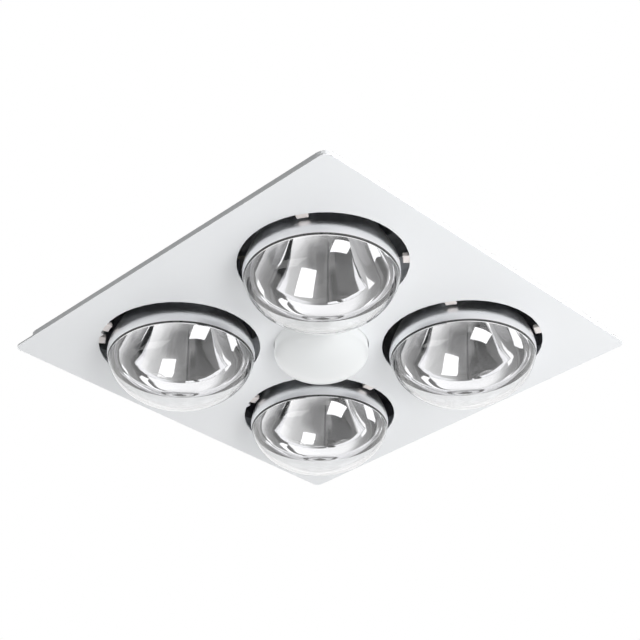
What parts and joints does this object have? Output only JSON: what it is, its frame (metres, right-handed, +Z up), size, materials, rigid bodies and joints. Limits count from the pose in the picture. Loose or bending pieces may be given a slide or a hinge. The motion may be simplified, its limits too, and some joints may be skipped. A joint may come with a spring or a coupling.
{
  "type": "bathroom ceiling heater",
  "caption": "Square flush ceiling heater with infra-red reflector lamps, a round centre light and a ducted exhaust fan in a recessed steel housing.",
  "frame": {"origin": "centre of the ceiling cut-out, on the ceiling's underside", "axes": "+Z up into the ceiling, -Z down into the room, X and Y along the fascia's sides"},
  "size_m": [0.368, 0.368, 0.2768],
  "materials": {
    "white_powder_coat": "smooth white powder coat, low gloss",
    "galvanised_sheet": "galvanised, faint spangle",
    "spring_steel": "drawn bright wire",
    "zinc_plated_screw": "zinc plated",
    "black_nylon": "glass-filled, matt",
    "silvered_lamp_glass": "clear blown glass with a mirror silvered inside above the front window",
    "cap_brass": "plain",
    "stem_glass": "clear",
    "tungsten": "dull grey wire",
    "white_ceramic": "glazed porcelain",
    "silicone_sleeve": "matt silicone",
    "opal_diffuser": "opal, smooth",
    "cast_aluminium": "as cast",
    "white_board": "white solder mask",
    "white_casing": "fine-textured moulding",
    "duct_plastic": "moulded, satin",
    "fan_plastic": "moulded, satin",
    "motor_paint": "satin black enamel",
    "terminal_resin": "moulded resin"
  },
  "bodies": {
    "housing": {"housing": "galvanised_sheet", "duct_spigot": "duct_plastic", "flap_pin": "spring_steel", "motor_spider": "galvanised_sheet", "fan_motor": "motor_paint", "terminal_block": "terminal_resin", "terminal_cover": "white_casing", "cable_gland": "black_nylon", "holder_rail_a": "galvanised_sheet", "holder_rail_b": "galvanised_sheet", "lamp_loom_a": "silicone_sleeve", "lamp_loom_b": "silicone_sleeve", "lampholder_near": "white_ceramic", "lampholder_right": "white_ceramic", "lampholder_left": "white_ceramic", "lampholder_far": "white_ceramic", "lamp_glass_near": "silvered_lamp_glass", "lamp_glass_right": "silvered_lamp_glass", "lamp_glass_left": "silvered_lamp_glass", "lamp_glass_far": "silvered_lamp_glass", "lamp_cap_near": "cap_brass", "lamp_cap_right": "cap_brass", "lamp_cap_left": "cap_brass", "lamp_cap_far": "cap_brass", "lamp_stem_near": "stem_glass", "lamp_stem_right": "stem_glass", "lamp_stem_left": "stem_glass", "lamp_stem_far": "stem_glass", "lamp_filament_near": "tungsten", "lamp_filament_right": "tungsten", "lamp_filament_left": "tungsten", "lamp_filament_far": "tungsten", "clip_bracket_near": "galvanised_sheet", "clip_bracket_right": "galvanised_sheet", "clip_bracket_left": "galvanised_sheet", "clip_bracket_far": "galvanised_sheet", "light_base": "cast_aluminium", "led_board": "white_board", "light_bridge": "galvanised_sheet", "led_driver": "white_casing"},
    "fascia": {"fascia_panel": "white_powder_coat", "fascia_skirt": "white_powder_coat", "spring_clip_near": "spring_steel", "spring_clip_right": "spring_steel", "spring_clip_left": "spring_steel", "spring_clip_far": "spring_steel"},
    "cover": {"light_cover": "opal_diffuser"},
    "impeller": {"impeller": "fan_plastic", "motor_shaft": "spring_steel", "impeller_nut": "zinc_plated_screw"},
    "flap_a": {"shutter_flap_a": "duct_plastic"},
    "flap_b": {"shutter_flap_b": "duct_plastic"},
    "clamp_a": {"clamp_arm_a": "black_nylon", "clamp_screw_a": "zinc_plated_screw"},
    "clamp_b": {"clamp_arm_b": "black_nylon", "clamp_screw_b": "zinc_plated_screw"},
    "clamp_c": {"clamp_arm_c": "black_nylon", "clamp_screw_c": "zinc_plated_screw"},
    "clamp_d": {"clamp_arm_d": "black_nylon", "clamp_screw_d": "zinc_plated_screw"}
  },
  "joints": [
    {"name": "fascia_drop", "type": "slide", "parent": "housing", "child": "fascia", "axis": [0, 0, -1], "range_m": [0, 0.055], "stiffness_N_per_m": 200, "springref_m": -0.1},
    {"name": "cover_twist", "type": "hinge", "parent": "housing", "child": "cover", "pos_m": [0, 0, -0.0135], "axis": [0, 0, 1], "range_deg": [0, 30]},
    {"name": "impeller_spin", "type": "hinge", "parent": "housing", "child": "impeller", "pos_m": [0, 0, 0.1565], "axis": [0, 0, 1], "continuous": true},
    {"name": "flap_a_swing", "type": "hinge", "parent": "housing", "child": "flap_a", "pos_m": [0, 0, 0.1907], "axis": [1, 0, 0], "range_deg": [0, 75]},
    {"name": "flap_b_swing", "type": "hinge", "parent": "housing", "child": "flap_b", "pos_m": [0, 0, 0.1907], "axis": [-1, 0, 0], "range_deg": [0, 75]},
    {"name": "clamp_a_swing", "type": "hinge", "parent": "housing", "child": "clamp_a", "pos_m": [0.1575, 0, 0], "axis": [0, 0, 1], "range_deg": [-90, 0]},
    {"name": "clamp_b_swing", "type": "hinge", "parent": "housing", "child": "clamp_b", "pos_m": [0, 0.1575, 0], "axis": [0, 0, 1], "range_deg": [-90, 0]},
    {"name": "clamp_c_swing", "type": "hinge", "parent": "housing", "child": "clamp_c", "pos_m": [-0.1575, 0, 0], "axis": [0, 0, 1], "range_deg": [-90, 0]},
    {"name": "clamp_d_swing", "type": "hinge", "parent": "housing", "child": "clamp_d", "pos_m": [0, -0.1575, 0], "axis": [0, 0, 1], "range_deg": [-90, 0]}
  ]
}
